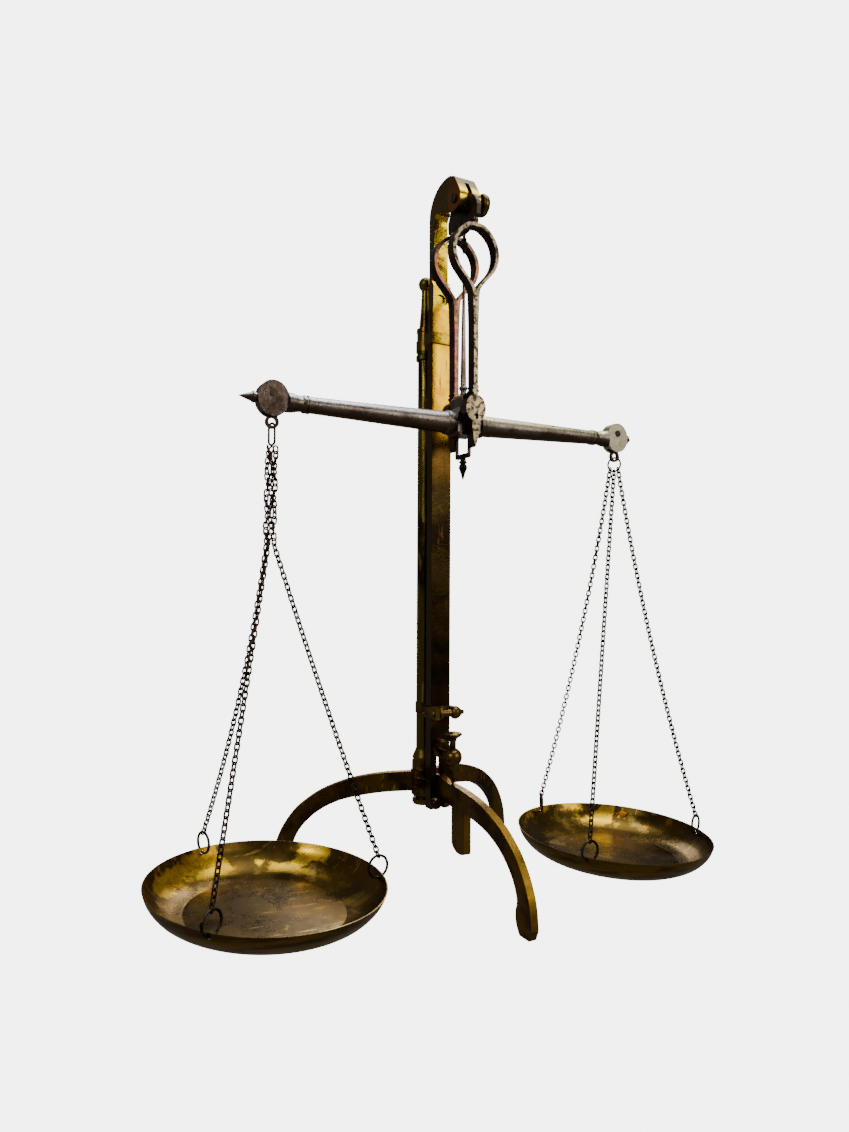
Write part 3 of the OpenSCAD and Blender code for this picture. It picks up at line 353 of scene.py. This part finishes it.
# Beam: turned from one bar of steel with a filed block in the middle. Pitted, with a silvery
# painted highlight on the upward-facing faces (cream on the right arm), and brown below, darkened
# there with painted shade.
beam_grey = (0.27, 0.22, 0.18)
beam_shade = (0.12, 0.085, 0.065)
beam_top_highlight = (0.72, 0.74, 0.76)
right_arm_highlight = (0.93, 0.90, 0.50)
beam_underside_shade = (0.12, 0.075, 0.045)
beam_pits = (0.13, 0.08, 0.055)
right_arm_start, right_arm_full = 0.0, 0.02
beam_steel = worn_metal("beam_steel", beam_grey, beam_shade, patch=34, rough=(0.22, 0.4), uneven=0.2)
# Painted highlight: upward-facing faces are made silvery.
lay_over(beam_steel, facing(beam_steel, "Z", 0.15, 0.75), beam_top_highlight)
# Painted highlight: the right arm's upward-facing faces are made cream.
right_top_highlight = both(beam_steel, along(beam_steel, "X", right_arm_start, right_arm_full),
                 facing(beam_steel, "Z", 0.1, 0.6))
lay_over(beam_steel, right_top_highlight, right_arm_highlight)
# Painted shade: downward-facing faces are darkened brown.
lay_over(beam_steel, facing(beam_steel, "Z", -0.25, -0.75), beam_underside_shade)
lay_over(beam_steel, blotches(beam_steel, 300, 0.60, 0.68), beam_pits)
dress(beam_steel, "beam", "tongue", "left_spike", "right_spike")

# Knives: hardened steel edges in the beam's block and in both box ends, blued and dark.
dress(plate_steel, "fulcrum_knife", "left_knife", "right_knife")

# Box ends: hollow oval steel boxes that hold the end knives. The left one has gone brown
# and pitted, the right one is still pale.
left_box_brown = (0.17, 0.125, 0.10)
left_box_shade = (0.07, 0.047, 0.036)
left_box_pits = (0.03, 0.02, 0.016)
left_box_steel = worn_metal("left_box_steel", left_box_brown, left_box_shade, patch=60, uneven=0.25)
lay_over(left_box_steel, blotches(left_box_steel, 420, 0.60, 0.67), left_box_pits)
dress(left_box_steel, "left_end_box")
right_box_pale = (0.62, 0.57, 0.40)
right_box_shade = (0.30, 0.26, 0.18)
right_box_pits = (0.10, 0.07, 0.05)
right_box_face = (0.52, 0.48, 0.33)
right_box_steel = worn_metal("right_box_steel", right_box_pale, right_box_shade, patch=60)
lay_over(right_box_steel, blotches(right_box_steel, 420, 0.62, 0.69), right_box_pits)
lay_over(right_box_steel, facing(right_box_steel, "Y", -0.2, -0.6), right_box_face)
dress(right_box_steel, "right_end_box")

# Hangers, link, rings and chains: bent wire and small forgings of brass gone brown-black,
# with a coppery tint where the links rub each other.
chain_brown = (0.085, 0.058, 0.040)
chain_shade = (0.030, 0.019, 0.013)
chain_copper = (0.24, 0.105, 0.05)
chain_bare = (0.36, 0.34, 0.30)
chain_metal = worn_metal("chain_metal", chain_brown, chain_shade, patch=90, rough=(0.3, 0.5))
lay_over(chain_metal, blotches(chain_metal, 260, 0.58, 0.7), chain_copper)
lay_over(chain_metal, blotches(chain_metal, 380, 0.62, 0.7, shift=5), chain_bare)
dress(chain_metal, "left_hanger", "right_hanger", "left_link", "right_ring", "left_front_chain",
      "left_rear_chain", "left_inner_chain", "right_front_chain", "right_rear_chain",
      "right_outer_chain", "left_rim_rings", "right_rim_rings")

# Pans: spun from sheet brass, with a flat floor and a flared side. Inside they have a
# cloudy olive-brown patina, with a painted reflection in gold patches and orange specks on the
# far half of the wall; outside they are brown.
pan_olive = (0.155, 0.092, 0.018)
pan_shade = (0.085, 0.052, 0.012)
pan_cloud = (0.34, 0.215, 0.045)
pan_streak = (0.42, 0.27, 0.05)
wall_reflection_gold = (0.90, 0.54, 0.02)
wall_reflection_orange = (0.85, 0.30, 0.01)
outside_brown = (0.24, 0.135, 0.02)
outside_shade = (0.10, 0.056, 0.010)
reflection_start, reflection_full = -0.03, 0.05
for pan_name in ("left_pan", "right_pan"):
    pan_brass = worn_metal(pan_name + "_brass", pan_olive, pan_shade, patch=13, rough=(0.2, 0.4),
                           uneven=0.08)
    lay_over(pan_brass, blotches(pan_brass, 30, 0.58, 0.66, shift=2), pan_cloud)
    streaks = blotches(pan_brass, 24, 0.62, 0.68, stretch=(1, 9, 1), shift=7)
    lay_over(pan_brass, streaks, pan_streak)
    wall = both(pan_brass, facing(pan_brass, "Z", 0.97, 0.75), facing(pan_brass, "Z", 0.0, 0.2))
    # Painted reflection: the half of the wall towards +Y.
    reflected_wall = both(pan_brass, wall, along(pan_brass, "Y", reflection_start, reflection_full))
    reflection_patches = blotches(pan_brass, 19, 0.50, 0.56, shift=4)
    # Gold patches of the painted reflection.
    lay_over(pan_brass, both(pan_brass, reflected_wall, reflection_patches), wall_reflection_gold)
    reflection_specks = blotches(pan_brass, 60, 0.60, 0.66, shift=9)
    # Orange specks inside the painted reflection.
    lay_over(pan_brass, both(pan_brass, reflected_wall, reflection_specks), wall_reflection_orange)
    outside = facing(pan_brass, "Z", -0.1, -0.4)
    lay_over(pan_brass, outside, outside_brown)
    outside_clouds = blotches(pan_brass, 22, 0.45, 0.6, stretch=(1, 1, 8))
    lay_over(pan_brass, both(pan_brass, outside, outside_clouds), outside_shade)
    dress(pan_brass, pan_name)
